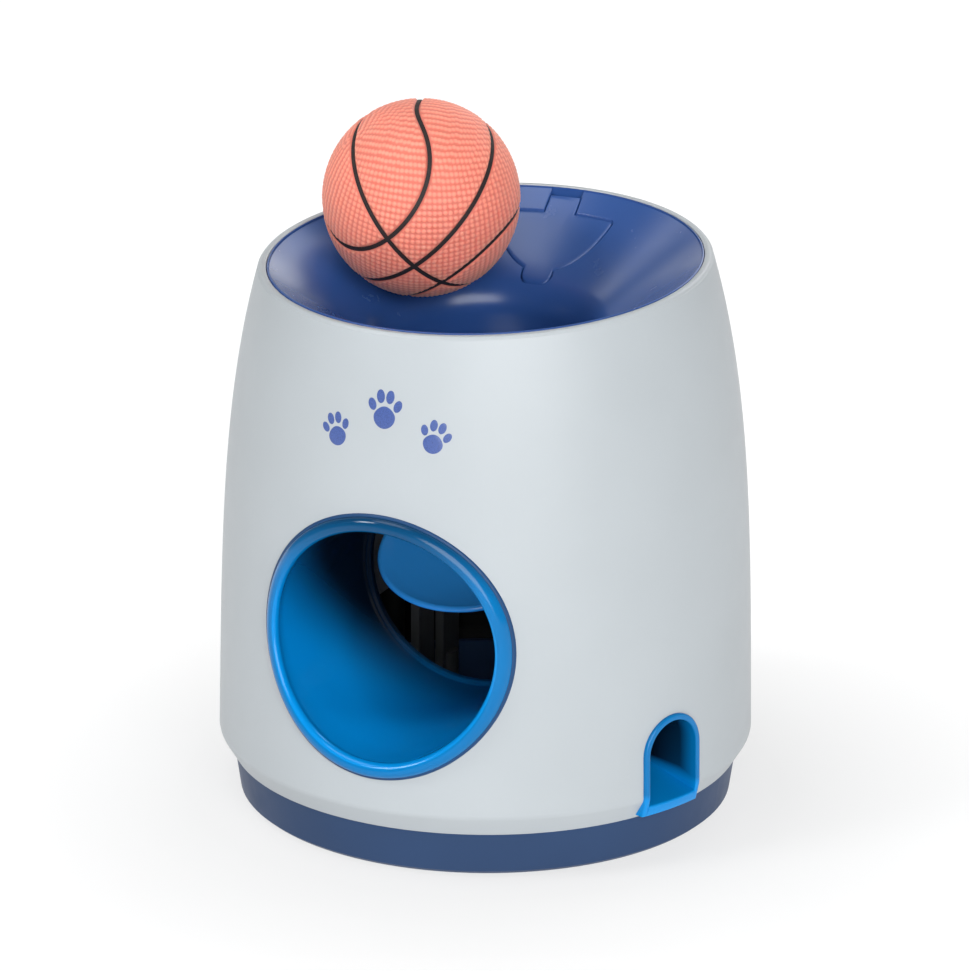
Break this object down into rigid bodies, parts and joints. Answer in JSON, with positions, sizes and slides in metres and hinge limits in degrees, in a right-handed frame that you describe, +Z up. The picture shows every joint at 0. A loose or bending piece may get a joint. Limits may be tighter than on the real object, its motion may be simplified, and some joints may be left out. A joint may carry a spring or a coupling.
{
  "type": "dog puzzle toy",
  "caption": "Dog puzzle toy: a ball dropped in the dish trips a paddle, rolls out of the front tunnel and turns a drum that tips treats to a side outlet.",
  "frame": {"origin": "centre of the round base, on the ground under the feet", "axes": "+Z up along the casing's axis; -Y out of the ball tunnel, which is the front; +X to the side of the treat outlet"},
  "size_m": [0.1698, 0.1717, 0.2181],
  "materials": {
    "casing_grey": "satin moulded ABS, light grey",
    "dish_navy": "satin moulded ABS, navy",
    "tunnel_blue": "glossy moulded ABS, bright blue",
    "paddle_blue": "glossy moulded ABS, bright blue",
    "inner_grey": "plain moulded ABS, light grey",
    "inner_dark": "plain moulded ABS, charcoal",
    "gear_white": "acetal, natural white",
    "ball_rubber": "pebbled natural rubber, coral orange",
    "foot_rubber": "soft black rubber",
    "pin_steel": "ground steel",
    "weight_steel": "turned steel",
    "screw_steel": "zinc plated steel"
  },
  "bodies": {
    "root": {"outer_shell": "casing_grey", "base_plate": "dish_navy", "funnel_dish": "dish_navy", "lid_hinge_pin": "pin_steel", "treat_hopper": "inner_dark", "exit_tunnel": "tunnel_blue", "ball_hood": "inner_dark", "treat_chute": "inner_dark", "outlet_frame": "tunnel_blue", "frame_right": "inner_grey", "frame_left": "inner_grey", "rubber_foot_1": "foot_rubber", "rubber_foot_2": "foot_rubber", "rubber_foot_3": "foot_rubber", "rubber_foot_4": "foot_rubber", "base_screws": "screw_steel", "funnel_screws": "screw_steel", "tunnel_screws": "screw_steel", "frame_screws": "screw_steel"},
    "lid": {"hopper_lid": "dish_navy"},
    "paddle": {"paddle": "paddle_blue", "counterweight": "weight_steel", "sector_gear": "gear_white", "paddle_shaft": "pin_steel"},
    "drum": {"metering_drum": "gear_white", "drive_pinion": "gear_white", "drum_shaft": "pin_steel"},
    "ball": {"ball": "ball_rubber"}
  },
  "joints": [
    {"name": "lid_hinge", "type": "hinge", "parent": "root", "child": "lid", "pos_m": [0, 0.06255, 0.17522], "axis": [-1, 0, 0], "range_deg": [0, 95]},
    {"name": "paddle_tilt", "type": "hinge", "parent": "root", "child": "paddle", "pos_m": [0, 0.03, 0.0973], "axis": [1, 0, 0], "range_deg": [0, 30]},
    {"name": "drum_turn", "type": "hinge", "parent": "root", "child": "drum", "pos_m": [0, 0.054, 0.0793], "axis": [1, 0, 0], "range_deg": [-90, 0]},
    {"name": "ball_lift", "type": "slide", "parent": "root", "child": "ball", "axis": [0, 0, 1], "range_m": [0, 0.06]}
  ],
  "couplings": [
    {"joint": "drum_turn", "follows": "paddle_tilt", "ratio": -3}
  ]
}
